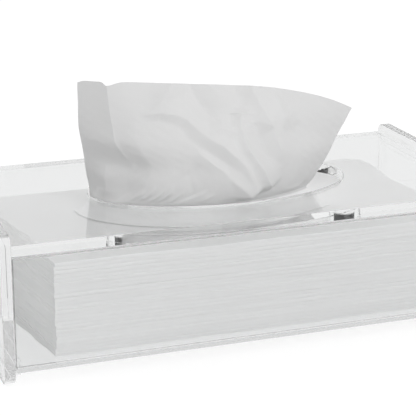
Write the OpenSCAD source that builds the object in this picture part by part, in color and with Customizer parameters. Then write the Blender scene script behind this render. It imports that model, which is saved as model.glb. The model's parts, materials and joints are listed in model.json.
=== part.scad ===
// Clear tissue box with a drawer. Two end panels carry a top plate with an oval slot
// and a back panel. A drawer made of a floor, a front and a low back slides on two
// runners and holds the pile of tissues. One tissue stands pulled up through the slot.
// Millimetres, Z up. The origin lies on the surface that the box stands on, under the
// middle of the case. The front looks along -Y, and the drawer pulls out that way.

/* [Case] */
// Length of the case over its end panels
case_len = 250; // [180:1:320]
// Depth of the case, front to back
case_depth = 130; // [110:1:180]
// Height of the end panels
case_h = 71; // [55:1:110]
// Thickness of the case's sheets
case_t = 5; // [3:0.5:8]
// Radius of the end panels' corners
corner_r = 5; // [2:0.5:12]
// Height of the end panels above the top plate
rim_h = 5; // [2:0.5:12]
// Height of the back panel's lower edge above the ground
back_foot = 6; // [2:0.5:12]

/* [Dispensing slot] */
// Length of the oval slot
slot_len = 133; // [90:1:160]
// Width of the oval slot, front to back
slot_w = 76; // [50:1:95]

/* [Runners] */
// Width of a runner
runner_w = 5; // [3:0.5:12]
// Height of a runner
runner_h = 5.8; // [3:0.2:12]
// Distance from the front of the case to a runner's end
runner_setback = 12; // [5:1:30]

/* [Drawer] */
// Thickness of the drawer's sheets
drawer_t = 2.5; // [2:0.5:4]
// Height of the drawer's back strip above its floor
drawer_back_h = 25; // [10:1:35]
// Gap between the drawer and each end panel
side_gap = 0.7; // [0.3:0.1:2]
// Gap between the drawer's floor and the runners
run_gap = 0.2; // [0.1:0.05:0.5]
// Gap between the drawer's front and the top plate
lid_gap = 1.3; // [0.5:0.1:4]
// Gap between the closed drawer and the back panel
stop_gap = 0.5; // [0.3:0.1:2]

/* [Tissue pile] */
// Gap between the pile and the drawer's front
pile_front_gap = 4; // [1:0.5:10]
// Gap between the pile and the drawer's back
pile_back_gap = 19; // [5:1:40]
// Mean gap between the pile and each end of the drawer
pile_end_gap = 17; // [10:1:30]
// Gap between the pile and the top plate
pile_head_gap = 7; // [6:0.1:20]
// Distance that the pile lies left of the middle
pile_offset = 5; // [-5:0.5:5]
// Distance that the pile's back is pushed to the left of its front
pile_skew = 15; // [-8:0.5:15]
// Folded bundles that show as bands in the pile
pile_bands = 9; // [4:1:14]
// How far the bands stand in and out
pile_ripple = 0.5; // [0:0.1:1]

/* [Pulled tissue] */
// Height of the tissue's highest point above the top plate
sheet_rise = 60; // [30:1:90]
// How much lower its top edge gets towards the right at a steady slope
sheet_slope = 8; // [0:1:15]
// How much lower still its right tip hangs
sheet_droop = 14.7; // [0:0.1:20]
// How far the tissue's left edge leans out from its foot
sheet_left_lean = 6.6; // [0:0.1:20]
// How far the tissue's right tip leans out from its foot
sheet_right_lean = 24.1; // [10:0.1:40]
// How far the middle of the top edge bows to the front
sheet_bow = 8; // [0:1:15]
// How far the tissue bulges to the front halfway up
sheet_belly = 2.5; // [0:0.5:6]
// Height of the tissue's main folds
fold_depth = 1.8; // [0:0.1:4]
// Thickness of the crumpled tissue
sheet_t = 0.6; // [0.4:0.1:1]
// Gap between the tissue and what it lies on or leans on
soft_gap = 0.3; // [0.3:0.1:1]

/* [Hidden] */
$fn = 64;
slot_sides = 120;
// How far a band of the pile sinks into the next one, so that the pile is one solid
band_join = 0.05;

// Case: the space between the end panels, and the levels of its sheets
inner_len = case_len - 2 * case_t;
front_y = -case_depth / 2;
back_y = case_depth / 2;
back_face_y = back_y - case_t;
plate_top = case_h - rim_h;
plate_under = plate_top - case_t;

// Drawer: its floor lies on the runners, and its back stops at the back panel
drawer_len = inner_len - 2 * side_gap;
drawer_end_y = back_face_y - stop_gap;
floor_under = runner_h + run_gap;
floor_top = floor_under + drawer_t;
front_h = plate_under - lid_gap - floor_top;

// Pile: it lies on the floor between the drawer's front and back
pile_y0 = front_y + drawer_t + pile_front_gap;
pile_y1 = drawer_end_y - drawer_t - pile_back_gap;
pile_len = drawer_len - 2 * pile_end_gap;
pile_z0 = floor_top + soft_gap;
pile_z1 = plate_under - pile_head_gap;
band_h = (pile_z1 - pile_z0) / pile_bands;

// Pulled tissue: a grid of points. Across it come a narrow strip, turned back at its left end,
// a ridge, and a wide body. Up it come the tail under the plate and the part above the plate.
strip_steps = 6;
body_steps = 26;
columns = strip_steps + body_steps;
above_steps = 11;
tail_steps = 4;
rows = tail_steps + above_steps;
// Angles round the slot at which the foot starts, has its ridge and ends, 270 being the front
foot_start = 177;
foot_ridge = 205;
foot_end = 312;
// How far inside the slot's wall the foot stands, and how much farther at its right end
foot_inset = 1.5;
foot_inset_right = 7.5;
// How far the left edge and the ridge stand out from their feet, at shares of the height. Each
// row holds the share, then the way to the right and to the back. The left edge's way to the
// right is a share of sheet_left_lean.
LEFT_LEAN = [[0, 0, 0], [0.3, -0.48, -3.1], [0.6, -0.92, -5.1], [1, -1, -6.1]];
RIDGE_LEAN = [
    [0, 0, 0], [0.1, 5.7, -2.7], [0.2, 7.6, -4.5], [0.3, 9.7, -6],
    [0.43, 4, -5.6], [0.5, 1, -5], [0.65, -0.9, -4.6], [1, -3.4, -4]
];
// How far the right tip stands back from its foot, and how much lower the left edge's top is
right_back = 0.5;
strip_fall = 2.2;
// How far the tail's end spreads out on the pile
tail_flare = 4;
tail_drop = plate_top - (pile_z1 + soft_gap + sheet_t / 2);

// The tissue laid flat, in millimetres: its strip's and body's widths and its height
strip_wide = 20;
body_wide = 115;
flat_high = 60;
// Its main folds as [start, end, half width, share of fold_depth], on the tissue laid flat
RAISED = [
    [[34, 44], [58, 40], 12, 1],
    [[60, 38], [91, 4], 12, 1],
    [[84, 47], [100, 8], 9, 0.7],
    [[40, 47], [47, 60], 9, 0.5]
];
SUNK = [
    [[50, 18], [61, 5], 11, 0.7],
    [[57, 60], [70, 43], 9, 0.5]
];

function mix(a, b, k) = a + (b - a) * k;
function ease(k) = k * k * (3 - 2 * k);
function clamp01(k) = min(1, max(0, k));

// How far a point lies along and off a fold's line, and the fold's height there
function line_share(p, a, b) = clamp01(((p - a) * (b - a)) / ((b - a) * (b - a)));
function off_line(p, f) = norm(p - mix(f[0], f[1], line_share(p, f[0], f[1])));
function fold_at(p, f) = f[3] * fold_depth * ease(clamp01(1 - off_line(p, f) / f[2]));
function highest(p, folds) = max([for (f = folds) fold_at(p, f)]);
function folds_at(i, v) =
    let (p = [strip_wide * strip_share(i) + body_wide * body_share(i), flat_high * v])
        highest(p, RAISED) - highest(p, SUNK);

// How far across the strip and across the body a column lies
function strip_share(i) = min(1, i / strip_steps);
function body_share(i) = max(0, (i - strip_steps) / body_steps);

// The foot follows the slot's wall from its left end round the front
function foot_angle(i) = i < strip_steps
    ? mix(foot_start, foot_ridge, strip_share(i))
    : mix(foot_ridge, foot_end, body_share(i));
function foot_in(i) = foot_inset + foot_inset_right * pow(max(0, 2 * body_share(i) - 1), 1.2);
function foot(i, more) = [
    (slot_len / 2 - foot_in(i) - more) * cos(foot_angle(i)),
    (slot_w / 2 - foot_in(i) - more) * sin(foot_angle(i))
];

// Where the left edge, the ridge and the right edge stand at a share of the height
function lean(list, v) = [for (k = [1, 2]) lookup(v, [for (row = list) [row[0], row[k]]])];
function left_edge(v) = foot(0, 0) + [sheet_left_lean * lean(LEFT_LEAN, v)[0], lean(LEFT_LEAN, v)[1]];
function ridge(v) = foot(strip_steps, 0) + lean(RIDGE_LEAN, v);
function right_edge(v) = foot(columns, 0) + [sheet_right_lean, right_back] * v;
function between(i, v) = i < strip_steps
    ? mix(left_edge(v), ridge(v), strip_share(i))
    : mix(ridge(v), right_edge(v), body_share(i));

// The tissue above the plate: round the slot at its foot, and in a shallow bow at its top
function forward(i, v) = sheet_bow * sin(180 * body_share(i)) * v
    + sheet_belly * ease(clamp01(10 * body_share(i))) * sin(180 * pow(v, 0.6));
function plan(i, v) = between(i, v) + (foot(i, 0) - between(i, 0)) * (1 - v) - [0, forward(i, v)];
function top_rise(i) = sheet_rise - sheet_slope * body_share(i) - sheet_droop * pow(body_share(i), 4)
    - strip_fall * pow(1 - strip_share(i), 0.7);
function above(i, v) =
    let (fold = folds_at(i, v) * ease(clamp01(v * 5)), a = foot_angle(i), p = plan(i, v))
        [p[0] + fold * cos(a), p[1] + fold * sin(a), plate_top + v * top_rise(i)];

// The tail goes down through the slot and spreads a little on the pile
function tail(i, k) =
    let (p = foot(i, -tail_flare * pow(k, 3)))
        [p[0], p[1], plate_top - tail_drop * sin(90 * k)];
function mid(i, j) = j < tail_steps ? tail(i, 1 - j / tail_steps) : above(i, (j - tail_steps) / above_steps);
function across(i, j) = mid(min(columns, i + 1), j) - mid(max(0, i - 1), j);
function along(i, j) = mid(i, min(rows, j + 1)) - mid(i, max(0, j - 1));
function square_on(i, j) =
    let (square = cross(across(i, j), along(i, j)))
        square / norm(square);

// A plate with round corners, standing in the YZ plane
module panel(depth, height, thick, radius) {
    rotate([90, 0, 90]) linear_extrude(thick) {
        translate([-depth / 2 + radius, 0]) square([depth - 2 * radius, height]);
        translate([-depth / 2, radius]) square([depth, height - 2 * radius]);
        for (y = [-1, 1], z = [radius, height - radius])
            translate([y * (depth / 2 - radius), z]) circle(radius);
    }
}

module end_panel() {
    color("gainsboro", 0.4) panel(case_depth, case_h, case_t, corner_r);
}

module left_end_panel() {
    translate([-case_len / 2, 0, 0]) end_panel();
}

module right_end_panel() {
    translate([case_len / 2 - case_t, 0, 0]) end_panel();
}

module oval(length, width, height) {
    linear_extrude(height) polygon([
        for (i = [0 : slot_sides - 1])
            [length / 2 * cos(360 * i / slot_sides), width / 2 * sin(360 * i / slot_sides)]
    ]);
}

module top_plate() {
    color("gainsboro", 0.4) difference() {
        translate([-inner_len / 2, front_y, plate_under]) cube([inner_len, case_depth, case_t]);
        translate([0, 0, plate_under - 1]) oval(slot_len, slot_w, case_t + 2);
    }
}

module back_panel() {
    color("gainsboro", 0.4)
        translate([-inner_len / 2, back_face_y, back_foot])
            cube([inner_len, case_t, plate_under - back_foot]);
}

module runner() {
    color("gainsboro", 0.4)
        translate([0, front_y + runner_setback, 0])
            cube([runner_w, back_face_y - front_y - runner_setback, runner_h]);
}

module left_runner() {
    translate([-inner_len / 2, 0, 0]) runner();
}

module right_runner() {
    translate([inner_len / 2 - runner_w, 0, 0]) runner();
}

module drawer_floor() {
    color("whitesmoke", 0.4)
        translate([-drawer_len / 2, front_y, floor_under])
            cube([drawer_len, drawer_end_y - front_y, drawer_t]);
}

module drawer_wall(y, height) {
    color("whitesmoke", 0.4) translate([-drawer_len / 2, y, floor_top]) cube([drawer_len, drawer_t, height]);
}

module drawer_front() {
    drawer_wall(front_y, front_h);
}

module drawer_back() {
    drawer_wall(drawer_end_y - drawer_t, drawer_back_h);
}

// One band of the pile: a skewed slab whose edges stand in or out a little
module pile_band(i) {
    in = pile_ripple * (1 + sin(137 * i)) / 2;
    front_mid = -pile_offset + pile_skew / 2;
    back_mid = -pile_offset - pile_skew / 2;
    half = pile_len / 2 - in;
    translate([0, 0, pile_z0 + i * band_h]) linear_extrude(band_h + (i < pile_bands - 1 ? band_join : 0)) polygon([
        [front_mid - half, pile_y0 + in],
        [front_mid + half, pile_y0 + in],
        [back_mid + half, pile_y1 - in],
        [back_mid - half, pile_y1 - in]
    ]);
}

module tissue_stack() {
    color("white") for (i = [0 : pile_bands - 1]) pile_band(i);
}

// The pulled tissue: two grids of points, half its thickness to each side, closed round the edge
module tissue_sheet() {
    wide = columns + 1;
    side = wide * (rows + 1);
    points = [
        for (s = [-1, 1], j = [0 : rows], i = [0 : columns])
            mid(i, j) + s * sheet_t / 2 * square_on(i, j)
    ];
    function at(s, i, j) = s * side + j * wide + i;
    faces = concat(
        [for (i = [0 : columns - 1], j = [0 : rows - 1]) each [
            [at(0, i, j), at(0, i, j + 1), at(0, i + 1, j)],
            [at(0, i, j + 1), at(0, i + 1, j + 1), at(0, i + 1, j)],
            [at(1, i, j), at(1, i + 1, j), at(1, i, j + 1)],
            [at(1, i, j + 1), at(1, i + 1, j), at(1, i + 1, j + 1)]
        ]],
        [for (i = [0 : columns - 1]) each [
            [at(0, i, 0), at(0, i + 1, 0), at(1, i + 1, 0)],
            [at(0, i, 0), at(1, i + 1, 0), at(1, i, 0)],
            [at(0, i, rows), at(1, i + 1, rows), at(0, i + 1, rows)],
            [at(0, i, rows), at(1, i, rows), at(1, i + 1, rows)]
        ]],
        [for (j = [0 : rows - 1]) each [
            [at(0, 0, j), at(1, 0, j + 1), at(0, 0, j + 1)],
            [at(0, 0, j), at(1, 0, j), at(1, 0, j + 1)],
            [at(0, columns, j), at(0, columns, j + 1), at(1, columns, j + 1)],
            [at(0, columns, j), at(1, columns, j + 1), at(1, columns, j)]
        ]]
    );
    color("white") polyhedron(points, faces);
}

left_end_panel();
right_end_panel();
top_plate();
back_panel();
left_runner();
right_runner();
drawer_floor();
drawer_front();
drawer_back();
tissue_stack();
tissue_sheet();
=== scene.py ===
# %% [markdown]
# # A clear tissue box with a drawer
#
# The box is glued from flat sheets of clear acrylic. Two thick end panels carry a top plate with a
# big oval slot and a back panel. A thin drawer slides on two runners and holds a pile of folded
# tissues, and one tissue stands pulled up through the slot. The construction comes from a frame, in
# metres, and every piece below is built round the sizes that it gives.

# %% Load the frame
import json
import math

import bpy
import numpy as np
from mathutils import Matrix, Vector

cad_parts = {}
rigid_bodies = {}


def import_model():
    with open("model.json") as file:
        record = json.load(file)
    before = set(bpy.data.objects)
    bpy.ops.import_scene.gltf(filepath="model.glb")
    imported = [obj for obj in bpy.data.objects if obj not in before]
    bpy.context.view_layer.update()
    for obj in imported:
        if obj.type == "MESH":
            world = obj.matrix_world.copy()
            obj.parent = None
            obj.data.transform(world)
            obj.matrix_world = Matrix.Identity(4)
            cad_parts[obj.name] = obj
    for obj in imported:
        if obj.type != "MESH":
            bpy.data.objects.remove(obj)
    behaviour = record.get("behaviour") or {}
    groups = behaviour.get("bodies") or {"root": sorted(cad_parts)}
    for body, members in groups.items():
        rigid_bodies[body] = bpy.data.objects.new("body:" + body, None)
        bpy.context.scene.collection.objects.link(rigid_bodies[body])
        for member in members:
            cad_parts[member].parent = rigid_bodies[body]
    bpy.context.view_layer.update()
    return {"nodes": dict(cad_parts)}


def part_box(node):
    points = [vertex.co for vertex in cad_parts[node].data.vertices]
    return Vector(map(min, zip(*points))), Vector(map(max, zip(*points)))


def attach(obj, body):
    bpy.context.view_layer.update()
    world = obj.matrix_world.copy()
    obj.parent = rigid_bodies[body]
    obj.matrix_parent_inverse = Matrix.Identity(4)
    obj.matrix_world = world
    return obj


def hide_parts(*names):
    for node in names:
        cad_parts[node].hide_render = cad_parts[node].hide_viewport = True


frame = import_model()
MM = 0.001
print("nodes:", sorted(frame["nodes"]))

# %% [markdown]
# ## The camera
#
# A product photograph is taken from some distance with a long lens, so that the box looks neither
# wide nor pinched. The lens, place and turn below were worked out from the edges of the box.

# %% Camera
CAMERA_PLACE = (-0.25131, -0.68075, 0.27674)
CAMERA_TURN = (72.8005, 0.0, -19.8771)
CAMERA_LENS = 130.89
SENSOR_WIDTH = 36.0


def in_scene(name, data):
    """An object that puts a camera, a mesh or a lamp into the scene."""
    thing = bpy.data.objects.new(name, data)
    bpy.context.scene.collection.objects.link(thing)
    return thing


def make_camera():
    """The camera at the photograph's viewing angle."""
    data = bpy.data.cameras.new("camera")
    data.lens = CAMERA_LENS
    data.sensor_width = SENSOR_WIDTH
    data.clip_start = 10 * MM
    camera = in_scene("camera", data)
    camera.location = CAMERA_PLACE
    camera.rotation_euler = [math.radians(angle) for angle in CAMERA_TURN]
    bpy.context.scene.camera = camera
    return camera


camera = make_camera()
print("camera at", [round(x, 3) for x in camera.location], "lens", camera.data.lens)

# %% [markdown]
# ## Sizes that the pieces share
#
# Each piece takes its place from the node that it stands for. The few sizes that no node gives are
# named here: the slot's, and how far the sharp edges are taken off.

# %% Sizes
PLATE_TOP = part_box("top_plate")[1].z
SLOT_LENGTH = 133 * MM
SLOT_WIDTH = 76 * MM
SLOT_STEPS = 160
PANEL_CORNER = 5 * MM
PANEL_CORNER_STEPS = 14
POLISHED_EDGE = 0.2 * MM
THIN_EDGE = 0.15 * MM
GLUE_LINE = 0.03 * MM
print("the plate's top lies", round(PLATE_TOP / MM, 1), "mm up")

# %% [markdown]
# ## Node maths as Python
#
# A material is a graph of nodes, and so is a Geometry Nodes tree. Adding each node by hand is slow to
# write and to read, so small classes do it. `Field` wraps a socket, and its operators add Math nodes.


# %% Field
class Field:
    """A number over the surface: a node's socket whose arithmetic adds Math nodes."""

    def __init__(self, graph, socket):
        self.graph = graph
        self.socket = socket

    def _math(self, operation, first, second=0.0):
        node = self.graph.add("ShaderNodeMath", {"operation": operation}, {0: first, 1: second})
        return self.graph.out(node, "Value")

    def __add__(self, other):
        return self._math("ADD", self, other)

    def __radd__(self, other):
        return self._math("ADD", other, self)

    def __sub__(self, other):
        return self._math("SUBTRACT", self, other)

    def __rsub__(self, other):
        return self._math("SUBTRACT", other, self)

    def __mul__(self, other):
        return self._math("MULTIPLY", self, other)

    def __rmul__(self, other):
        return self._math("MULTIPLY", other, self)

    def root(self):
        """The square root."""
        return self._math("SQRT", self)

    def over(self, edge):
        """1 where the value is over the edge, else 0."""
        return self._math("GREATER_THAN", self, edge)


print("operators from the right:", [name for name in vars(Field) if name.startswith("__r")])

# %% [markdown]
# Any other node comes from one method of `Graph`. It takes the node's type, its settings, and then the
# values or links of its sockets. The settings go first, because they decide which sockets work.
# `Finish` is a graph that makes a material.


# %% Graph and Finish
class Graph:
    """A node tree that is built node by node."""

    def __init__(self, tree):
        self.nodes = tree.nodes
        self.links = tree.links
        self.nodes.clear()

    def add(self, kind, settings=None, inputs=None):
        """Adds a node, sets its settings, then gives its sockets values or links."""
        node = self.nodes.new(kind)
        for key, value in (settings or {}).items():
            setattr(node, key, value)
        for key, value in (inputs or {}).items():
            if isinstance(value, Field):
                self.links.new(value.socket, node.inputs[key])
            else:
                node.inputs[key].default_value = value
        return node

    def out(self, node, name):
        """An output of a node, as a Field."""
        return Field(self, node.outputs[name])

    def mixed(self, share, first, second):
        """Two shaders mixed. share is how much of the second there is."""
        return self.out(self.add("ShaderNodeMixShader", {}, {0: share, 1: first, 2: second}), "Shader")


class Finish(Graph):
    """A material."""

    def __init__(self, name):
        self.material = bpy.data.materials.new(name)
        self.material.use_nodes = True
        super().__init__(self.material.node_tree)

    def finish(self, shader):
        """Joins the last shader to the material's output, and gives the material."""
        self.add("ShaderNodeOutputMaterial", None, {"Surface": shader})
        return self.material


print("a graph can:", [name for name in vars(Graph) if not name.startswith("_")])

# %% [markdown]
# ## Clear acrylic
#
# Acrylic bends light like glass, with an index of 1.49. A plain clear shader would do for thin film,
# but the bending is what draws a sheet's edges, so the glass part of the Principled shader is used.
# Saw-cut edges are rough and grainy. They are tinted a darker grey and polished edges a lighter one:
# partly for the long way the light goes through the sheet, and partly as painted shade for the dark
# surroundings that clear edges show. A transparent shader for shadow rays lets the lamps reach the
# tissues inside, which a path tracer would otherwise leave in the dark.


# %% Acrylic
def grey(level):
    """A colour without a hue."""
    return (level, level, level, 1.0)


ACRYLIC_INDEX = 1.49
ACRYLIC_TINT = (0.97, 0.975, 0.975, 1.0)
# Edge tints: partly the sheet's own grey over a long path, partly painted shade for dark surroundings
CUT_TINT_AND_PAINTED_SHADE = (0.87, 0.875, 0.875, 1.0)
SAWN_TINT_AND_PAINTED_SHADE = grey(0.66)
ROUGH_TINT_AND_PAINTED_SHADE = grey(0.5)
LAMP_SHARE = grey(0.97)
GRAIN_DETAIL = 3.0


def acrylic(name, tint, roughness=0.0, grain=0.0, clear_share=1.0):
    """Clear acrylic, polished unless it is given a grain, in cells to a metre."""
    finish = Finish(name)
    inputs = {
        "Base Color": tint,
        "Roughness": roughness,
        "IOR": ACRYLIC_INDEX,
        "Transmission Weight": clear_share,
    }
    if grain:
        place = finish.out(finish.add("ShaderNodeTexCoord"), "Object")
        cells = {"Vector": place, "Scale": grain, "Detail": GRAIN_DETAIL}
        height = finish.out(finish.add("ShaderNodeTexNoise", {}, cells), "Fac")
        ridges = finish.add("ShaderNodeBump", {}, {"Height": height, "Strength": 1.0, "Distance": MM})
        inputs["Normal"] = finish.out(ridges, "Normal")
    glass = finish.out(finish.add("ShaderNodeBsdfPrincipled", {}, inputs), "BSDF")
    clear = finish.out(finish.add("ShaderNodeBsdfTransparent", {}, {"Color": LAMP_SHARE}), "BSDF")
    for_lamps = finish.out(finish.add("ShaderNodeLightPath"), "Is Shadow Ray")
    return finish.finish(finish.mixed(for_lamps, glass, clear))


polished = acrylic("polished_acrylic", ACRYLIC_TINT)
# The cut and saw-cut edges are tinted grey, partly as painted shade
cut_edge_and_shade = acrylic("polished_cut_edge_and_shade", CUT_TINT_AND_PAINTED_SHADE)
sawn_and_shade = acrylic("sawn_acrylic_and_shade", SAWN_TINT_AND_PAINTED_SHADE, roughness=0.2, grain=500.0)
rough_cut_and_shade = acrylic("rough_cut_acrylic_and_shade", ROUGH_TINT_AND_PAINTED_SHADE, roughness=0.12, grain=600.0, clear_share=0.68)
print("acrylic finishes:", [finish.name for finish in (polished, cut_edge_and_shade, sawn_and_shade, rough_cut_and_shade)])

# %% [markdown]
# ## Tissue paper
#
# Tissue is thin, soft and matt, and it lets a little light through. Its crepe is a fine grain of
# tiny ridges across the sheet, with softer clouds where the paper is thicker. An image could give
# that, but noise on Object coordinates has no seams.

# %% Paper
SHEET_WHITE = 0.81
SHEET_THROUGH = 0.2
PILE_WHITE = 0.935
THIN_PLACES = 0.02
PAPER_THROUGH = grey(0.8)
CREPE = {"Scale": 900.0, "Detail": 2.0}
CREPE_STRETCH = (1.0, 1.0, 2.4)
CREPE_SHARE = 0.6
CREPE_STRENGTH = 0.12
CLOUDS = {"Scale": 60.0, "Detail": 3.0}
MATT = {"Roughness": 0.95, "Specular IOR Level": 0.1}


def tissue_paper(name, white, through=0.0):
    """Matt paper. white is how pale it is, through its share of light let through."""
    finish = Finish(name)
    place = finish.out(finish.add("ShaderNodeTexCoord"), "Object")
    stretched = finish.add("ShaderNodeMapping", {}, {"Vector": place, "Scale": CREPE_STRETCH})
    crepe = finish.add("ShaderNodeTexNoise", {}, {"Vector": finish.out(stretched, "Vector"), **CREPE})
    clouds = finish.out(finish.add("ShaderNodeTexNoise", {}, {"Vector": place, **CLOUDS}), "Fac")
    ridges = {"Height": finish.out(crepe, "Fac") * CREPE_SHARE + clouds, "Strength": CREPE_STRENGTH}
    normal = finish.out(finish.add("ShaderNodeBump", {}, {**ridges, "Distance": MM}), "Normal")
    tones = {0: clouds, 6: grey(white - THIN_PLACES), 7: grey(white)}
    shade = finish.out(finish.add("ShaderNodeMix", {"data_type": "RGBA"}, tones), 2)
    surface = {"Base Color": shade, "Normal": normal, **MATT}
    paper = finish.out(finish.add("ShaderNodeBsdfPrincipled", {}, surface), "BSDF")
    if not through:
        return finish.finish(paper)
    glow = finish.add("ShaderNodeBsdfTranslucent", {}, {"Color": PAPER_THROUGH, "Normal": normal})
    return finish.finish(finish.mixed(through, paper, finish.out(glow, "BSDF")))


sheet_paper = tissue_paper("pulled_tissue_paper", SHEET_WHITE, SHEET_THROUGH)
pile_paper = tissue_paper("tissue_pile_paper", PILE_WHITE)
print("paper finishes:", sheet_paper.name, pile_paper.name)

# %% [markdown]
# ## Outlines
#
# Every acrylic piece is cut from flat sheet, so it starts as an outline: a rectangle with round
# corners, or the slot's oval. A curve object could draw them, but plain points are easy to measure.
# Each arc has a short straight beside it, so that the shading of the wall doesn't smear round it.

# %% Outlines
SIDE_RUN = 0.15
CUT_CORNER = 1.6
CUT_CORNER_STEPS = 2


def rounded_rectangle(low, high, radius, steps):
    """A rectangle with round corners, anticlockwise from its front right corner."""
    points = []
    corners = [(high[0], low[1], -90), (high[0], high[1], 0), (low[0], high[1], 90), (low[0], low[1], 180)]
    for x, y, start in corners:
        centre_x = x - radius if x == high[0] else x + radius
        centre_y = y - radius if y == high[1] else y + radius
        run = SIDE_RUN * radius
        first, last = math.radians(start), math.radians(start + 90)
        arc = [
            (centre_x + radius * math.cos(angle), centre_y + radius * math.sin(angle))
            for angle in np.linspace(first, last, steps + 1)
        ]
        points.append((arc[0][0] + run * math.sin(first), arc[0][1] - run * math.cos(first)))
        points += arc
        points.append((arc[-1][0] - run * math.sin(last), arc[-1][1] + run * math.cos(last)))
    return np.array(points)


def cut_rectangle(low, high, edge):
    """A rectangle whose corners are only a little rounder than its edges."""
    return rounded_rectangle(low, high, CUT_CORNER * edge, CUT_CORNER_STEPS)


def oval(length, width, steps):
    """An oval round the origin, clockwise, as a hole's outline goes."""
    angles = -np.linspace(0, 2 * math.pi, steps, endpoint=False)
    return np.stack([length / 2 * np.cos(angles), width / 2 * np.sin(angles)], 1)


def drawn_in(loop, distance):
    """The outline moved into the material, which lies on its left."""
    along = np.roll(loop, -1, 0) - loop
    along /= np.linalg.norm(along, axis=1)[:, None]
    before = np.roll(along, 1, 0)
    left = np.stack([-along[:, 1], along[:, 0]], 1)
    left_before = np.stack([-before[:, 1], before[:, 0]], 1)
    middle = left + left_before
    middle /= np.linalg.norm(middle, axis=1)[:, None]
    return loop + middle * (distance / np.sum(middle * left, 1))[:, None]


slot_rim = oval(SLOT_LENGTH, SLOT_WIDTH, SLOT_STEPS)
print("the slot's rim has", len(slot_rim), "points")

# %% [markdown]
# ## Slabs
#
# A slab is an outline with a thickness, whose sharp edges are taken off. Solidify and Bevel modifiers
# could make it, but here one function writes rings of points at four levels, the outer two drawn in a
# little, and closes what lies between. Only a closed shape bends light as the real sheet does.

# %% Meshes
SMOOTH_ANGLE = math.radians(24)


def mesh_object(name, points, faces, material):
    """A smooth-shaded object at the origin, whose creases stay sharp."""
    mesh = bpy.data.meshes.new(name)
    mesh.from_pydata([tuple(p) for p in points], [], [tuple(f) for f in faces])
    mesh.materials.append(material)
    mesh.validate()
    mesh.shade_smooth()
    mesh.set_sharp_from_angle(angle=SMOOTH_ANGLE)
    return in_scene(name, mesh)


def stand_for(piece, node, body):
    """The piece shows in place of a frame node and moves with a body."""
    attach(piece, body)
    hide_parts(node)
    sides = sum(len(face.vertices) for face in piece.data.polygons)
    open_edges = 2 * len(piece.data.edges) - sides
    print(piece.name, "stands for", node, "with", len(piece.data.polygons), "faces, open edges:", open_edges)
    return piece


print("creases stay sharp over", round(math.degrees(SMOOTH_ANGLE)), "degrees")

# %% [markdown]
# Walls join each ring of points to the next. A face with a hole can't be one polygon, so the plate's
# faces are a front and a back half, which meet at the two ends of the slot.


# %% Walls, caps and slabs
def walls(start, count, rings):
    """The side faces between rings of points, the first of which begins at start."""
    faces = []
    for ring in range(rings - 1):
        for i in range(count):
            a = start + ring * count + i
            b = start + ring * count + (i + 1) % count
            faces.append((a, b, b + count, a + count))
    return faces


def caps(counts, rings, level):
    """A slab's flat face at a level: one face, or a front and a back half round a hole."""
    outer = [level * counts[0] + i for i in range(counts[0])]
    if len(counts) == 1:
        return [outer]
    hole = [rings * counts[0] + level * counts[1] + i for i in range(counts[1])]
    quarter, half = counts[0] // 4, counts[1] // 2
    front = outer[3 * quarter:] + outer[:quarter] + hole[:half + 1]
    back = outer[quarter - 1:3 * quarter + 1] + hole[half:] + hole[:1]
    return [front, back]


def slab(name, loops, low, high, edge, place):
    """A sheet between two levels. place turns an outline's x, y and a level into a point."""
    levels = [(low, edge), (low + edge, 0.0), (high - edge, 0.0), (high, edge)]
    points, faces = [], []
    for loop in loops:
        faces += walls(len(points), len(loop), len(levels))
        for level, inset in levels:
            points += [place(x, y, level) for x, y in drawn_in(loop, inset)]
    counts = [len(loop) for loop in loops]
    faces += [cap[::-1] for cap in caps(counts, len(levels), 0)]
    faces += caps(counts, len(levels), len(levels) - 1)
    return mesh_object(name, points, faces, polished)


def flat_place(x, y, level):
    """An outline seen from above."""
    return (x, y, level)


def side_place(y, z, level):
    """An outline seen from the right, its level along X."""
    return (level, y, z)


def front_place(x, z, level):
    """An outline seen from behind, its level along -Y, so that it is not turned inside out."""
    return (x, -level, z)


print("a slab has", len(walls(0, 4, 4)), "wall faces for an outline of four points")

# %% [markdown]
# ## The end panels
#
# The two end panels are the thickest sheets, with round corners, and they stand a little over the
# plate. Their lower edges were left as the saw cut them, and show grey and grainy through the lower
# part of the front edges; that grey, and the grey tint of the front edges, is partly painted shade.
# Such an edge gets its finish by the way its faces look, which is simpler than painting a mask.

# %% End panels
FACES_THAT_WAY = 0.99


def finish_edge(piece, way, finish):
    """Gives the edge that looks a way a finish of its own."""
    piece.data.materials.append(finish)
    for face in piece.data.polygons:
        if face.normal.dot(Vector(way)) > FACES_THAT_WAY:
            face.material_index = len(piece.data.materials) - 1


def end_panel(name, node):
    """An end panel with round corners, saw-cut below and grey in its front edge, the grey partly painted
    shade.
    """
    low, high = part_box(node)
    outline = rounded_rectangle((low.y, low.z), (high.y, high.z), PANEL_CORNER, PANEL_CORNER_STEPS)
    piece = slab(name, [outline], low.x, high.x, POLISHED_EDGE, side_place)
    finish_edge(piece, (0, 0, -1), rough_cut_and_shade)
    finish_edge(piece, (0, -1, 0), cut_edge_and_shade)
    return stand_for(piece, node, "case")


left_panel = end_panel("left_panel", "left_end_panel")
right_panel = end_panel("right_panel", "right_end_panel")

# %% [markdown]
# ## The plate, the back panel and the runners
#
# The plate lies between the end panels, and its slot is cut smooth. Where two sheets are glued, the
# glue keeps them a hair apart, so each sheet still shows its own edge. Seen from the front, one
# looks through the whole depth of the plate, so its back edge has the greyer finish, a grey tint
# that is partly painted shade.


# %% Plate, back panel and runners
def lying(name, node, body, edge, glue=GLUE_LINE, holes=()):
    """A sheet that lies flat, a hair short of what it is glued to at its ends."""
    low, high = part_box(node)
    outline = cut_rectangle((low.x + glue, low.y), (high.x - glue, high.y), edge)
    piece = slab(name, [outline, *holes], low.z, high.z, edge, flat_place)
    return stand_for(piece, node, body)


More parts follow.
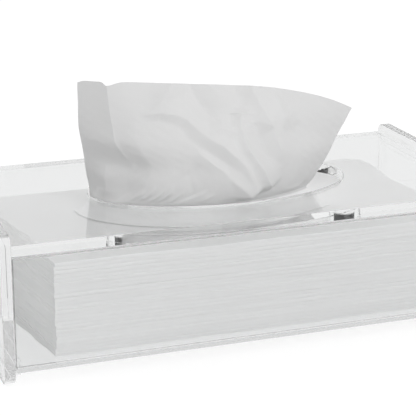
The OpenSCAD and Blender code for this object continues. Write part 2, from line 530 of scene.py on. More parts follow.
def upright(name, node, body, edge, glue=GLUE_LINE):
    """A sheet that stands across the box, a hair short of what it is glued to all round."""
    low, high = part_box(node)
    outline = cut_rectangle((low.x + glue, low.z + glue), (high.x - glue, high.z - glue), edge)
    piece = slab(name, [outline], -high.y, -low.y, edge, front_place)
    return stand_for(piece, node, body)


plate = lying("lid_plate", "top_plate", "case", POLISHED_EDGE, holes=[slot_rim])
# The back edge's grey tint is partly painted shade
finish_edge(plate, (0, 1, 0), cut_edge_and_shade)
rear = upright("rear_panel", "back_panel", "case", POLISHED_EDGE)
left_rail = lying("left_rail", "left_runner", "case", THIN_EDGE)
right_rail = lying("right_rail", "right_runner", "case", THIN_EDGE)

# %% [markdown]
# ## The drawer
#
# The drawer is of thinner sheet: a floor, a front that stands on it and a low strip at the back. It
# has no side walls, because the end panels keep the pile in. The floor's front edge and the front's
# top edge were cut by saw, and make the two grey lines that outline it, a grey tint that is partly
# painted shade. The floor isn't glued at its ends.

# %% Drawer
drawer_tray = lying("drawer_tray", "drawer_floor", "drawer", THIN_EDGE, glue=0.0)
# Saw-cut edge faces, tinted grey partly as painted shade
finish_edge(drawer_tray, (0, -1, 0), sawn_and_shade)
drawer_face = upright("drawer_face", "drawer_front", "drawer", THIN_EDGE)
finish_edge(drawer_face, (0, 0, 1), sawn_and_shade)
drawer_stop = upright("drawer_stop", "drawer_back", "drawer", THIN_EDGE)

# %% [markdown]
# ## One bundle of tissues
#
# The tissues are folded into each other, and from outside the pile shows some two dozen bundles, each
# a little out of line with the next. So it is built as it is stacked, from one bundle that is
# repeated. From above the pile is slanted: its front lies a little to the right of its back.

# %% Sizes of the bundle
BUNDLE_COUNT = 24
PILE_SKEW = 15 * MM
FRONT_STEPS = 72
SIDE_STEPS = 20
AROUND = 2 * (FRONT_STEPS + SIDE_STEPS)
# A fold's height and how far it is drawn in there, both as a share of the bundle's thickness
FOLD = [(0.0, 0.08), (0.2, 0.015), (0.5, 0.0), (0.8, 0.015), (1.0, 0.08)]

pile_low, pile_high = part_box("tissue_stack")
bundle_thick = (pile_high.z - pile_low.z) / BUNDLE_COUNT


def pile_outline():
    """The slanted pile seen from above, anticlockwise from its front left corner."""
    length = pile_high.x - pile_low.x - PILE_SKEW
    corners = [
        Vector((pile_high.x - length, pile_low.y)),
        Vector((pile_high.x, pile_low.y)),
        Vector((pile_low.x + length, pile_high.y)),
        Vector((pile_low.x, pile_high.y)),
    ]
    outline = []
    for k, steps in enumerate([FRONT_STEPS, SIDE_STEPS, FRONT_STEPS, SIDE_STEPS]):
        outline += [corners[k].lerp(corners[(k + 1) % 4], i / steps) for i in range(steps)]
    return np.array([tuple(p) for p in outline])


pile_edge = pile_outline()
print("a bundle is", round(bundle_thick / MM, 2), "mm thick, with", len(pile_edge), "points round it")

# %% [markdown]
# The bundle is a thin slab with round folds. Its flat faces are grids of small quads, because the
# whole pile is bent later, and a single face can't bend.


# %% One bundle
def face_rows(points, level):
    """Rows of points over a flat face, front to back. level is where its outline's points begin."""
    back_left = level + 2 * FRONT_STEPS + SIDE_STEPS
    rows = [[level + i for i in range(FRONT_STEPS + 1)]]
    for r in range(1, SIDE_STEPS):
        first = len(points)
        for i in range(1, FRONT_STEPS):
            front, back = Vector(points[level + i]), Vector(points[back_left - i])
            points.append(tuple(front.lerp(back, r / SIDE_STEPS)))
        rows.append([level + AROUND - r, *range(first, len(points)), level + FRONT_STEPS + r])
    rows.append([back_left - i for i in range(FRONT_STEPS + 1)])
    return rows


def quads(rows, up):
    """Faces over rows of points, which look up or down."""
    faces = []
    for near, far in zip(rows, rows[1:]):
        for i in range(len(near) - 1):
            quad = (near[i], near[i + 1], far[i + 1], far[i])
            faces.append(quad if up else quad[::-1])
    return faces


def bundle():
    """The points and faces of one bundle, its foot at height zero."""
    points = []
    for up, inward in FOLD:
        points += [(x, y, up * bundle_thick) for x, y in drawn_in(pile_edge, inward * bundle_thick)]
    faces = walls(0, AROUND, len(FOLD))
    faces += quads(face_rows(points, AROUND * (len(FOLD) - 1)), up=True)
    faces += quads(face_rows(points, 0), up=False)
    return points, faces


bundle_points, bundle_faces = bundle()
print("one bundle:", len(bundle_points), "points,", len(bundle_faces), "faces")

# %% [markdown]
# ## A tree with named inputs
#
# A Geometry Nodes tree is made with the same helpers. Its sizes are named inputs, so that one tree can
# make a loose pile or a neat one. The noises that bend the pile have names too, and each is stretched,
# because waves in stacked paper are longer than they are high.

# %% A tree with named inputs
# Each noise: its cells in a metre along X, Y and Z, where it starts, and its detail
NOISES = {
    "swell": ((14.0, 14.0, 14.0), (0.0, 0.0, 0.0), 1.0),
    "lean": ((20.0, 20.0, 60.0), (5.0, 0.0, 0.0), 1.0),
    "bundle edges": ((45.0, 45.0, 900.0), (9.0, 0.0, 0.0), 2.0),
    "streaks": ((7.0, 7.0, 300.0), (2.0, 0.0, 0.0), 2.0),
    "crumples": ((90.0, 130.0, 260.0), (0.0, 0.0, 0.0), 2.0),
    "foot waves": ((30.0, 0.0, 40.0), (0.0, 3.0, 0.0), 1.0),
}


class Tree(Graph):
    """A Geometry Nodes tree with named inputs."""

    def __init__(self, name, inputs):
        self.tree = bpy.data.node_groups.new(name, "GeometryNodeTree")
        super().__init__(self.tree)
        self.identifiers = {}
        face = self.tree.interface
        face.new_socket("Geometry", in_out="INPUT", socket_type="NodeSocketGeometry")
        for label, kind in inputs.items():
            socket = face.new_socket(label, in_out="INPUT", socket_type="NodeSocket" + kind)
            self.identifiers[label] = socket.identifier
        face.new_socket("Geometry", in_out="OUTPUT", socket_type="NodeSocketGeometry")
        self.group = self.add("NodeGroupInput")

    def given(self, label):
        """One of the tree's inputs, as a Field."""
        return self.out(self.group, label)

    def vector(self, x, y, z):
        """Three numbers as a vector."""
        return self.out(self.add("ShaderNodeCombineXYZ", {}, {"X": x, "Y": y, "Z": z}), "Vector")

    def ramp(self, value, low, high):
        """0 below low, 1 above high, smooth between."""
        settings = {"interpolation_type": "SMOOTHSTEP"}
        node = self.add("ShaderNodeMapRange", settings, {"Value": value, "From Min": low, "From Max": high})
        return self.out(node, "Result")

    def noise(self, place, kind):
        """Noise from -1 to 1 at a place, of one of the kinds above."""
        cells, start, detail = NOISES[kind]
        where = self.vector(*(side * cells[k] + start[k] for k, side in enumerate(place)))
        node = self.add("ShaderNodeTexNoise", {}, {"Vector": where, "Scale": 1.0, "Detail": detail})
        return self.out(node, "Fac") * 2.0 - 1.0


print("noises for the pile:", ", ".join(NOISES))

# %% [markdown]
# ## Bundles one above the other
#
# The bundle is repeated up a line, and each copy is pushed a little at random, because no hand stacks
# paper true. The copies are made real before the pile is bent: an instance has no points of its own.


# %% Bundles one above the other
def stacked(tree):
    """The bundles, one above the other and a little out of line."""
    step = tree.vector(0.0, 0.0, tree.given("Pitch"))
    foot = (0.0, 0.0, pile_low.z)
    line = tree.add("GeometryNodeMeshLine", {"mode": "OFFSET"}, {
        "Count": tree.given("Bundles"), "Start Location": foot, "Offset": step})
    copies = tree.add("GeometryNodeInstanceOnPoints", {}, {
        "Points": tree.out(line, "Mesh"), "Instance": tree.given("Geometry")})
    push = tree.add("FunctionNodeRandomValue", {"data_type": "FLOAT_VECTOR"}, {
        0: (-1.0, -1.0, 0.0), 1: (1.0, 1.0, 0.0), "Seed": tree.given("Seed")})
    push = tree.add("ShaderNodeVectorMath", {"operation": "SCALE"}, {
        0: tree.out(push, "Value"), "Scale": tree.given("Scatter")})
    copies = tree.add("GeometryNodeTranslateInstances", {}, {
        "Instances": tree.out(copies, "Instances"), "Translation": tree.out(push, "Vector")})
    real = tree.add("GeometryNodeRealizeInstances", {}, {"Geometry": tree.out(copies, "Instances")})
    return tree.out(real, "Geometry")


print("the stack rises from", round(pile_low.z / MM, 1), "to", round(pile_high.z / MM, 1), "mm")

# %% [markdown]
# ## How the pile is bent
#
# A long swell lifts the pile. Slow and quick noises move the fronts of the bundles, which draws the
# fine lines, and the left end is crumpled. The lowest bundles draw back, and a lump rises under the
# slot's right side, where tissues were pulled.

# %% How the pile is bent
# Where the crumpled left end, the front and the top begin and are full, and the lump's place
LEFT_END = (88 * MM, 112 * MM)
PILE_FRONT = (30 * MM, 55 * MM)
PILE_TOP = (0.8, 1.0)
PILE_FOOT = 0.16
LUMP_PLACE = (84 * MM, 22 * MM)
LUMP_REACH = 30 * MM
LUMP_SLOPE = 28 * MM
LUMP_CRUMPLE = 0.5
EDGE_SHARE = 0.6
SETBACK_MEAN = 0.8


def bent(tree):
    """How far each point of the pile moves."""
    place = tree.out(tree.add("GeometryNodeInputPosition"), "Position")
    parts = tree.add("ShaderNodeSeparateXYZ", {}, {"Vector": place})
    here = x, y, z = [tree.out(parts, axis) for axis in "XYZ"]
    up = (z - pile_low.z) * (1.0 / (pile_high.z - pile_low.z))
    crumple = tree.noise(here, "crumples")
    left = tree.ramp(0.0 - x, *LEFT_END)
    foot = tree.ramp(PILE_FOOT - up, 0.0, PILE_FOOT) * tree.ramp(0.0 - y, *PILE_FRONT)
    across, along = x - LUMP_PLACE[0], y - LUMP_PLACE[1]
    from_lump = (across * across + along * along).root()
    lump = tree.ramp(LUMP_REACH - from_lump, 0.0, LUMP_SLOPE) * tree.ramp(up, *PILE_TOP)
    fronts = tree.noise(here, "lean") + tree.noise(here, "bundle edges") * EDGE_SHARE
    setback = foot * (tree.noise(here, "foot waves") + SETBACK_MEAN)
    shift_x = crumple * left * tree.given("Crumple")
    shift_y = (fronts + tree.noise(here, "streaks")) * tree.given("Ripple")
    shift_y = shift_y + setback * tree.given("Setback")
    shift_z = tree.noise(here, "swell") * tree.given("Wave") * up
    shift_z = shift_z + lump * (1.0 + crumple * LUMP_CRUMPLE) * tree.given("Lump")
    return tree.vector(shift_x, shift_y, shift_z)


print("the left end is crumpled over", round((LEFT_END[1] - LEFT_END[0]) / MM), "mm")

# %% [markdown]
# ## The stacking tree
#
# The tree joins the two steps. It ends by setting a material, because a mesh that comes out of
# Geometry Nodes has only the finishes that the tree gives it.

# %% The stacking tree
# Each input of the tree: its kind, and its value for this pile
PILE = {
    "Bundles": ("Int", BUNDLE_COUNT),
    "Pitch": ("Float", bundle_thick),
    "Scatter": ("Float", 0.34 * MM),
    "Wave": ("Float", 1.0 * MM),
    "Ripple": ("Float", 0.55 * MM),
    "Crumple": ("Float", 2.2 * MM),
    "Setback": ("Float", 1.2 * MM),
    "Lump": ("Float", 5.0 * MM),
    "Seed": ("Int", 7),
    "Paper": ("Material", pile_paper),
}


def pile_tree():
    """Stacks the bundles, bends the pile and gives it its paper."""
    tree = Tree("pile_of_bundles", {label: kind for label, (kind, _) in PILE.items()})
    moved = tree.add("GeometryNodeSetPosition", {}, {"Geometry": stacked(tree), "Offset": bent(tree)})
    last = tree.add("GeometryNodeSetMaterial", {}, {
        "Geometry": tree.out(moved, "Geometry"), "Material": tree.given("Paper")})
    tree.add("NodeGroupOutput", {}, {"Geometry": tree.out(last, "Geometry")})
    return tree


stacking = pile_tree()
print("the stacking tree has", len(stacking.nodes), "nodes and the inputs", list(stacking.identifiers))

# %% [markdown]
# ## The pile
#
# A modifier runs the tree on the bundle. Its inputs are set by their identifiers, because two inputs
# may share a name. The result is kept as one plain mesh, and the modifier is taken off.

# %% Stack the pile
FOLD_ANGLE = math.radians(50)


def tissue_pile():
    """The pile as one plain mesh."""
    mesh = bpy.data.meshes.new("bundle")
    mesh.from_pydata(bundle_points, [], bundle_faces)
    mesh.shade_smooth()
    source = in_scene("bundle", mesh)
    modifier = source.modifiers.new("pile", "NODES")
    modifier.node_group = stacking.tree
    for label, (_, value) in PILE.items():
        modifier[stacking.identifiers[label]] = value
    graph = bpy.context.evaluated_depsgraph_get()
    result = bpy.data.meshes.new_from_object(source.evaluated_get(graph))
    source.modifiers.remove(modifier)
    bpy.data.objects.remove(source)
    result.name = "tissue_pile"
    result.set_sharp_from_angle(angle=FOLD_ANGLE)
    return stand_for(in_scene("tissue_pile", result), "tissue_stack", "drawer")


pile = tissue_pile()

# %% [markdown]
# ## The pulled tissue: its outline
#
# A pulled tissue fans out from the slot. It has a wide body, and at its left a narrow strip that is
# folded back along a ridge. Cloth simulation would let it fall, so it is modelled as a surface between
# its foot, which follows the slot's wall, and its top edge. The left edge, the ridge and the right edge
# run up on smooth lines through a few stations.

# %% Sizes and edges of the pulled tissue
SHEET_RISE = 60 * MM
SHEET_SLOPE = 8 * MM
SHEET_DROOP = 14.7 * MM
STRIP_FALL = 2.2 * MM
CORNER_FALL = 0.9 * MM
NOTCH = 2 * MM
TOP_BOW = 8 * MM
BELLY = 2.5 * MM
FOOT_INSET = 0.8 * MM
FOOT_INSET_RIGHT = 8.2 * MM
# Degrees round the slot to the start of the foot, the ridge and the end of the foot
FOOT_START, FOOT_RIDGE, FOOT_END = 177, 205, 312
# Each line's shape: how early or late it bends, and how wide its notch and its corner are
INSET_BEND, BELLY_BEND, DROOP_BEND, STRIP_BEND = 1.2, 0.6, 4, 0.7
BELLY_START = 0.1
NOTCH_ON_STRIP, NOTCH_ON_BODY, CORNER_WIDE = 0.12, 0.035, 0.12
# Where each edge lies: a share of the height, then x and y in mm
LEFT_EDGE = [(0.0, -65.2, 2.1), (0.3, -68.4, -1.0), (0.6, -71.3, -3.0), (1.0, -71.8, -4.0)]
RIDGE = [(0.0, -59.2, -17.0), (0.1, -53.5, -19.7), (0.2, -51.6, -20.9), (0.3, -49.5, -22.0),
         (0.43, -55.2, -22.1), (0.5, -58.2, -22.0), (0.65, -60.1, -21.6), (1.0, -62.6, -21.0)]
RIGHT_EDGE = [(0.0, 38.5, -22.5), (0.15, 41.8, -22.6), (0.31, 46.2, -22.0), (0.66, 54.2, -21.5),
              (1.0, 62.8, -21.0)]


def ease(k):
    """0 to 1, smooth at both ends."""
    k = np.clip(k, 0, 1)
    return k * k * (3 - 2 * k)


def edge_line(stations, up):
    """The plan place of an edge at a share of the height, on a smooth line through its stations."""
    knots, places = np.array(stations)[:, 0], np.array(stations)[:, 1:]
    slopes = np.gradient(places, knots, axis=0)
    k = np.clip(np.searchsorted(knots, up) - 1, 0, len(knots) - 2)
    step = knots[k + 1] - knots[k]
    t = ((up - knots[k]) / step)[..., None]
    bend = t * (1 - t) * step[..., None] * ((1 - t) * slopes[k] - t * slopes[k + 1])
    return (places[k] + (places[k + 1] - places[k]) * ease(t) + bend) * MM


print("the ridge at half height:", np.round(edge_line(RIDGE, np.array(0.5)) / MM, 1), "mm")

# %% [markdown]
# A point of the tissue has three shares: how far it lies across the strip, across the body and up.
# Shares keep the edges and the creases in step when a size is changed.


# %% The surface between its edges
def right_half(body):
    """0 over the left half of the body, then up to 1 at its right end."""
    return np.maximum(0, 2 * body - 1) ** INSET_BEND


def foot_plan(strip, body, more=0.0):
    """The line round the slot's wall where the tissue leaves the slot, more being its extra inset."""
    on_strip = FOOT_START + (FOOT_RIDGE - FOOT_START) * strip
    on_body = FOOT_RIDGE + (FOOT_END - FOOT_RIDGE) * body
    angle = np.radians(np.where(body > 0, on_body, on_strip))
    inset = FOOT_INSET + FOOT_INSET_RIGHT * right_half(body) + more
    x = (SLOT_LENGTH / 2 - inset) * np.cos(angle)
    y = (SLOT_WIDTH / 2 - inset) * np.sin(angle)
    return np.stack([x, y], -1)


def between_edges(strip, body, up):
    """The plan place on straight lines between the three edges."""
    left, ridge, right = (edge_line(stations, up) for stations in (LEFT_EDGE, RIDGE, RIGHT_EDGE))
    on_strip = left + (ridge - left) * strip[..., None]
    on_body = ridge + (right - ridge) * body[..., None]
    return np.where((body > 0)[..., None], on_body, on_strip)


def plan(strip, body, up):
    """The plan place: round the slot at the foot, and in a shallow bow at the top edge."""
    lean = foot_plan(strip, body) - between_edges(strip, body, 0 * up)
    belly = BELLY * ease(body / BELLY_START) * np.sin(np.pi * up**BELLY_BEND)
    forward = TOP_BOW * np.sin(np.pi * body) * up + belly
    bow = np.stack([0 * up, -forward], -1)
    return between_edges(strip, body, up) + lean * (1 - up)[..., None] + bow


def top_height(strip, body):
    """How far the top edge stands above the plate, with its notch at the ridge."""
    fall = SHEET_SLOPE * body + SHEET_DROOP * body**DROOP_BEND
    fall = fall + STRIP_FALL * (1 - strip) ** STRIP_BEND
    notch = NOTCH * np.exp(-(((strip - 1) / NOTCH_ON_STRIP) ** 2) - (body / NOTCH_ON_BODY) ** 2)
    corner = CORNER_FALL * np.exp(-((strip / CORNER_WIDE) ** 2))
    return SHEET_RISE - fall - notch - corner


print("foot of the body:", np.round(foot_plan(np.array(1.0), np.array(0.5)) / MM, 1), "mm")

# %% [markdown]
# ## Creases
#
# Paper folds over rather than bulges, so a crease has a steep side, a gentle one and a pointed top.
# Sculpting could make them, but a script can't repeat it. Here each crease is a line on the tissue laid
# flat, in millimetres across and up, and it raises the surface near it.

# %% One crease
VERY_FAR = 1e9
TINY = 1e-9


def crease(here, points, height, wide, sharp, ends, start=1.0):
    """The height, in metres, that a crease along points gives to the places here.

    wide holds its width in millimetres to the left and to the right of the line, sharp is how
    pointed it is, and ends are the shares of its length over which it fades in and out. start is
    its size at its first point, as a share of its full size at its last.
    """
    line = np.array(points, float)
    steps = np.linalg.norm(np.diff(line, axis=0), axis=1)
    starts = np.concatenate([[0], np.cumsum(steps)])
    best = np.full(here.shape[:-1], VERY_FAR)
    side = np.zeros_like(best)
    run = np.zeros_like(best)
    for k, step in enumerate(steps):
        along = (line[k + 1] - line[k]) / step
        offset = here - line[k]
        t = np.clip(offset @ along, 0, step)
        gap = np.linalg.norm(offset - t[..., None] * along, axis=-1)
        turn = along[0] * offset[..., 1] - along[1] * offset[..., 0]
        closer = gap < best
        best = np.where(closer, gap, best)
        side = np.where(closer, turn, side)
        run = np.where(closer, starts[k] + t, run)
    total = starts[-1]
    blend = ease(side / (np.abs(side) + best + TINY) * 0.5 + 0.5)
    size = start + (1 - start) * run / total
    width = (wide[1] + (wide[0] - wide[1]) * blend) * size
    profile = size * np.clip(1 - best / width, 0, 1) ** sharp
    fade = ease(run / (ends[0] * total + TINY)) * ease((total - run) / (ends[1] * total + TINY))
    return height * MM * profile * fade


trial = crease(np.array([[5, 0], [5, 1]]), [(0, 0), (10, 0)], 1, (2, 2), 1, (0.2, 0.2))
print("a crease 1 mm high, on its line and 1 mm beside it:", np.round(trial / MM, 2), "mm")

# %% [markdown]
# On this tissue an arch runs from beside the ridge down to the right, with smaller folds beside it.
# Bands fall from the top edge, and the slot's rim gathers the foot into short puckers. Each is given
# as a few points.

# %% All the creases
# Each crease: its line, its height in mm (less than 0 for a hollow), width, point, ends and start
CREASES = {
    "arch": (
        [(32, 44), (43, 46), (50, 45), (55, 43), (59, 39), (64, 35), (72, 30), (77, 24), (81, 18), (90, 8),
         (93, 2)], 3.8, (19, 7.5), 1.2, (0.12, 0.08), 0.3),
    "fold under the arch": (
        [(58, 34), (60, 27), (65, 21), (73, 15), (82, 9), (91, 3)], 2.2, (3.5, 11), 1.4, (0.35, 0.05)),
    "fold right of the arch": (
        [(87, 47), (79, 46), (79, 40), (81, 36), (83, 28), (86, 21), (92, 14), (101, 5)], 2.4, (10, 2.6),
        1.4, (0.12, 0.08)),
    "facet on the arch": ([(65, 35), (71, 39), (80, 36)], 1.3, (7, 3), 1.3, (0.3, 0.3)),
    "facet beside it": ([(81, 38), (87, 43), (96, 39)], 1.4, (7, 7), 1.2, (0.3, 0.3)),
    "light band": ([(48, 63), (46, 57), (43, 52), (38, 46)], 2.6, (8, 8), 1.3, (0.0, 0.6)),
    "dark band": ([(55, 63), (57, 57), (61, 51), (69, 43), (72, 39)], -2.3, (8, 6), 1.3, (0.0, 0.4)),
    "right band": (
        [(80, 66), (83, 58), (88, 49), (95, 39), (99, 29), (104, 16)], 3.2, (14, 5), 1.2, (0.0, 0.3)),
    "far band": ([(92, 62), (95, 55), (99, 47), (108, 38)], 1.8, (12, 9), 1.3, (0.0, 0.4)),
    "hollow at the foot": ([(49, 20), (56, 12), (61, 4)], -1.2, (10, 12), 1.4, (0.3, 0.1)),
    "tuck at the right": ([(108, 2), (118, 3), (126, 6)], 0.8, (3, 4), 1.4, (0.3, 0.3)),
    "wedge in the strip": ([(9, 22), (11, 12), (14, 0)], 2.0, (8, 6), 1.2, (0.5, 0.0)),
    "fold across the strip": ([(2, 30), (10, 31), (19, 27)], 0.35, (9, 7), 1.3, (0.3, 0.2)),
}
# The puckers all have one shape
PUCKERS = [
    [(29, 1), (32, 6), (34, 8)], [(35, 1), (37, 6), (37, 11)], [(40, 0), (43, 6), (43, 10)],
    [(45, 0), (47, 6), (46, 12)], [(51, 0), (53, 5), (54, 9)], [(67, 0), (69, 4), (71, 7)],
]
PUCKER_SHAPE = (0.7, (3.2, 2.0), 1.3, (0.3, 0.5))


def creased(here):
    """All the creases together, as a height off the surface."""
    rows = [*CREASES.values(), *((line, *PUCKER_SHAPE) for line in PUCKERS)]
    return sum(crease(here, *row) for row in rows)


print("creases:", ", ".join(CREASES), "and", len(PUCKERS), "puckers")

# %% [markdown]
# ## Faint waves
#
# Between its creases paper is never quite smooth, and without faint waves it would look like plastic.
# Each kind of wave is a sum of slanted sines, and a fixed seed keeps them the same on every run.

# %% Faint waves
# Each kind: its height, its length in mm and its seed
WAVES = [(0.3 * MM, 30, 3), (0.04 * MM, 7, 5)]
WAVE_COUNT = 7
WAVE_SIZES = (0.6, 1.5)
WAVE_SUM = 3.0


def smooth_noise(here, scale, seed):
    """A repeatable sum of slanted waves over the laid-out tissue, from about -1 to 1."""
    maker = np.random.default_rng(seed)
    total = 0.0
    for _ in range(WAVE_COUNT):
        turn = maker.uniform(0, np.pi)
        size = maker.uniform(*WAVE_SIZES) * scale
        phase = maker.uniform(0, 2 * np.pi)
        run = here[..., 0] * np.cos(turn) + here[..., 1] * np.sin(turn)
        total = total + np.sin(2 * np.pi * run / size + phase)
    return total / WAVE_SUM


print("waves of", [round(height / MM, 2) for height, *_ in WAVES], "mm")

# %% [markdown]
# ## The tissue's surface
#
# The surface is a grid of points. Above the plate it is creased. Below, a short tail goes down and
# spreads on the pile, and the rest of the real tissue is folded into the pile.

# %% The surface
# How wide and high the tissue is when it is laid flat, in mm
STRIP_WIDE = 20
BODY_WIDE = 115
SHEET_HIGH = 60
STRIP_COLUMNS = 56
BODY_COLUMNS = 220
SHEET_ROWS = 110
TAIL_ROWS = 30
TAIL_FLARE = 8 * MM
TAIL_TO_WALL = 5 * MM
SHEET_GAP = 0.3 * MM
SHEET_THICK = 0.24 * MM
# Creases are full from a twelfth of the height, and the wall is reached at a third of the tail
CREASE_START = 12
WALL_START = 3
FLARE_BEND = 2.6


def square_to(surface):
    """The direction square to a grid of points, at each point."""
    square = np.cross(np.gradient(surface, axis=0), np.gradient(surface, axis=1))
    return square / np.linalg.norm(square, axis=-1)[..., None]


def tissue_shares(rows):
    """The share of the strip and of the body at each column, and of the height at each row."""
    column, up = np.meshgrid(np.arange(STRIP_COLUMNS + BODY_COLUMNS + 1), rows, indexing="ij")
    strip = np.clip(column / STRIP_COLUMNS, 0, 1)
    body = np.clip((column - STRIP_COLUMNS) / BODY_COLUMNS, 0, 1)
    return strip, body, up


def tissue_above():
    """The tissue above the plate, creased."""
    strip, body, up = tissue_shares(np.linspace(0, 1, SHEET_ROWS + 1))
    z = PLATE_TOP + up * top_height(strip, body)
    smooth = np.concatenate([plan(strip, body, up), z[..., None]], -1)
    here = np.stack([strip * STRIP_WIDE + body * BODY_WIDE, up * SHEET_HIGH], -1)
    lift = creased(here) + sum(height * smooth_noise(here, *kind) for height, *kind in WAVES)
    return smooth + square_to(smooth) * (lift * ease(up * CREASE_START))[..., None]


def tissue_tail():
    """The tissue under the plate, whose end spreads a little on the pile."""
    strip, body, down = tissue_shares(np.linspace(1, 0, TAIL_ROWS + 1)[:-1])
    low = pile_high.z + SHEET_GAP + SHEET_THICK
    z = PLATE_TOP - (PLATE_TOP - low) * np.sin(np.pi / 2 * down)
    spread = TAIL_FLARE * down**FLARE_BEND + TAIL_TO_WALL * ease(WALL_START * down) * right_half(body)
    return np.concatenate([foot_plan(strip, body, -spread), z[..., None]], -1)


tissue_surface = np.concatenate([tissue_tail(), tissue_above()], 1)
print("the tissue's surface is a grid of", tissue_surface.shape[:2], "points")

# %% [markdown]
# ## The surface becomes paper
#
# The sheet is a thin shell round that surface. A Solidify modifier could give the thickness, but a
# shell written in the script closes its edges exactly. Light glows through the single layer above the
# plate. In and under the slot the tissue has the pile's whiter finish: more layers lie behind it there,
# and the whiter paper is also painted light, which lifts it out of the shade under the plate.


# %% The sheet
def closed_sheet(name, middle, thick, material):
    """A grid of points as a thin closed shell, half its thickness to each side."""
    square = square_to(middle)
    rows, columns = middle.shape[:2]
    points = np.concatenate([(middle + side * thick / 2 * square).reshape(-1, 3) for side in (1, -1)])
    half = rows * columns
    index = np.arange(half).reshape(rows, columns)
    a, b, c, d = index[:-1, :-1], index[1:, :-1], index[1:, 1:], index[:-1, 1:]
    front = np.stack([a, b, c, d], -1).reshape(-1, 4)
    back = front[:, ::-1] + half
    rim = np.concatenate([index[:, 0], index[-1, 1:], index[-2::-1, -1], index[0, -2:0:-1]])
    after = np.roll(rim, -1)
    edge = np.stack([rim, rim + half, after + half, after], -1)
    faces = np.concatenate([front, back, edge])
    return mesh_object(name, points, faces.tolist(), material)


def paint_tail_lighter_as_pile(piece):
    """Gives the tissue in and under the slot the pile's whiter paper, partly painted light against the shade
    there.
    """
    piece.data.materials.append(pile_paper)
    for face in piece.data.polygons:
        # Painted light: the shaded tail below the plate gets the whiter pile paper
        if face.center.z < PLATE_TOP - MM:
            face.material_index = 1


pulled = closed_sheet("pulled_tissue", tissue_surface, SHEET_THICK, sheet_paper)
paint_tail_lighter_as_pile(pulled)
stand_for(pulled, "tissue_sheet", "case")

# %% [markdown]
# ## What the eye sees
#
# The box stands on plain white. A strong lamp could make it so, but would bleach the paper too. Cycles
# can tell what a ray is for, so the rays that the eye follows, from the camera or by way of gloss and
# acrylic, find another white than the light on its way to the paper.


# %% What the eye sees
def straight_to_eye(graph):
    """1 for the rays that the eye follows with no paper between them and the eye, else 0."""
    path = graph.add("ShaderNodeLightPath")
    seen = graph.out(path, "Is Camera Ray") + graph.out(path, "Is Glossy Ray")
    seen = (seen + graph.out(path, "Is Transmission Ray")) - graph.out(path, "Diffuse Depth")
    return graph.out(graph.add("ShaderNodeClamp", {}, {"Value": seen}), "Result")


def eye_level(graph, direct, through):
    """A level that is direct to the camera itself and through by way of acrylic."""
    camera_ray = graph.out(graph.add("ShaderNodeLightPath"), "Is Camera Ray")
    return camera_ray * (direct - through) + through


print("the stage has", straight_to_eye.__name__, "and", eye_level.__name__)

# %% [markdown]
# ## The floor
#
# The eye sees the floor glow white. A share of it is plain paint, because without a faint shadow the
# box would seem to float. To the paper, only half of the floor glows.

# %% Floor
FLOOR_SIZE = 6.0
FLOOR_DROP = 0.3 * MM
FLOOR_PAINT = grey(0.9)
WHITE = grey(1.0)
# To the camera itself, and by way of acrylic
FLOOR_DIRECT, FLOOR_THROUGH = 1.15, 0.88
PAINT_DIRECT, PAINT_THROUGH = 0.3, 0.06
FLOOR_GLOW = 0.5


def floor_paint():
    """White to the eye, part of it plain paint that takes a shadow."""
    finish = Finish("floor_paint")
    seen = straight_to_eye(finish)
    paint = finish.add("ShaderNodeBsdfDiffuse", {}, {"Color": FLOOR_PAINT})
    level = eye_level(finish, FLOOR_DIRECT, FLOOR_THROUGH)
    white = finish.add("ShaderNodeEmission", {}, {"Color": WHITE, "Strength": level})
    paint_share = eye_level(finish, PAINT_DIRECT, PAINT_THROUGH)
    white_share = seen * (1.0 - paint_share - FLOOR_GLOW) + FLOOR_GLOW
    lit = finish.mixed(white_share, finish.out(paint, "BSDF"), finish.out(white, "Emission"))
    return finish.finish(lit)


def white_floor():
    """A pale floor under the box, which is stage and not part of it."""
    half = FLOOR_SIZE / 2
    corners = [(-half, -half), (half, -half), (half, half), (-half, half)]
    mesh = bpy.data.meshes.new("floor")
    mesh.from_pydata([(x, y, -FLOOR_DROP) for x, y in corners], [], [(0, 1, 2, 3)])
    mesh.materials.append(floor_paint())
    floor = in_scene("floor", mesh)
    return floor


floor = white_floor()
print("the floor is", floor.dimensions.x, "m wide")

# %% [markdown]
# ## The world
#
# The world is white where the eye looks, and a soft grey light on the paper. In a studio, dark cards
# stand beside a clear object, because on white it has no edges of its own. Two such cards are painted
# into the world, far to the left and right, and only acrylic shows them.

# %% World
AMBIENT = grey(0.8)
WORLD_DIRECT, WORLD_THROUGH = 1.0, 0.9
CARD_EDGE = 0.82
CARD_TOP = 0.42
CARD_DARKNESS = 0.95


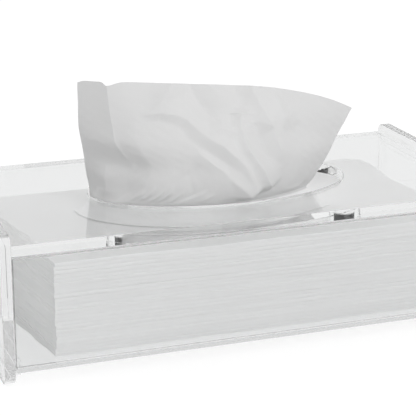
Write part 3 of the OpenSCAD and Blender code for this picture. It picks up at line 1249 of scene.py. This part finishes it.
def studio_world():
    """A white studio with two dark cards."""
    world = bpy.data.worlds.new("studio")
    bpy.context.scene.world = world
    world.use_nodes = True
    graph = Graph(world.node_tree)
    seen = straight_to_eye(graph)
    direction = graph.out(graph.add("ShaderNodeTexCoord"), "Generated")
    parts = graph.add("ShaderNodeSeparateXYZ", {}, {"Vector": direction})
    x, z = graph.out(parts, "X"), graph.out(parts, "Z")
    sideways = (x * x).over(CARD_EDGE**2)
    low = (CARD_TOP - z).over(0.0)
    camera_ray = graph.out(graph.add("ShaderNodeLightPath"), "Is Camera Ray")
    card = sideways * low * (1.0 - camera_ray)
    level = eye_level(graph, WORLD_DIRECT, WORLD_THROUGH) * (1.0 - card * CARD_DARKNESS)
    soft = graph.add("ShaderNodeBackground", {}, {"Color": AMBIENT})
    white = graph.add("ShaderNodeBackground", {}, {"Color": WHITE, "Strength": level})
    lit = graph.mixed(seen, graph.out(soft, "Background"), graph.out(white, "Background"))
    graph.add("ShaderNodeOutputWorld", {}, {"Surface": lit})
    return world


world = studio_world()
print("world:", world.name, "with", len(world.node_tree.nodes), "nodes")

# %% [markdown]
# ## The lamps
#
# A big soft box in front, high and a little to the right, models the folds, and one behind at the
# left lifts the pile's end. Acrylic would mirror them as glaring patches, so neither shows in it. Thin
# sheets pass light from face to face many times, and a short path would end in black lines.

# %% Lamps
LAMP_SIZE = 0.6
MAX_BOUNCES = 64


def soft_lamp(name, place, target, power):
    """A square soft box that looks at a point."""
    data = bpy.data.lights.new(name, "AREA")
    data.size = LAMP_SIZE
    data.energy = power
    lamp = in_scene(name, data)
    lamp.visible_glossy = False
    lamp.visible_transmission = False
    lamp.location = place
    lamp.rotation_euler = (Vector(target) - Vector(place)).to_track_quat("-Z", "Y").to_euler()
    return lamp


key = soft_lamp("key_lamp", place=(0.22, -1.28, 0.77), target=(0, 0, 0.07), power=5.0)
fill = soft_lamp("fill_lamp", place=(-0.85, 1.2, 0.2), target=(-0.1, 0, 0.03), power=4.5)
bpy.context.scene.view_settings.view_transform = "Standard"
for bounces in ("max_bounces", "glossy_bounces", "transmission_bounces"):
    setattr(bpy.context.scene.cycles, bounces, MAX_BOUNCES)
print("lamps of", key.data.energy, "and", fill.data.energy, "W")

# %% [markdown]
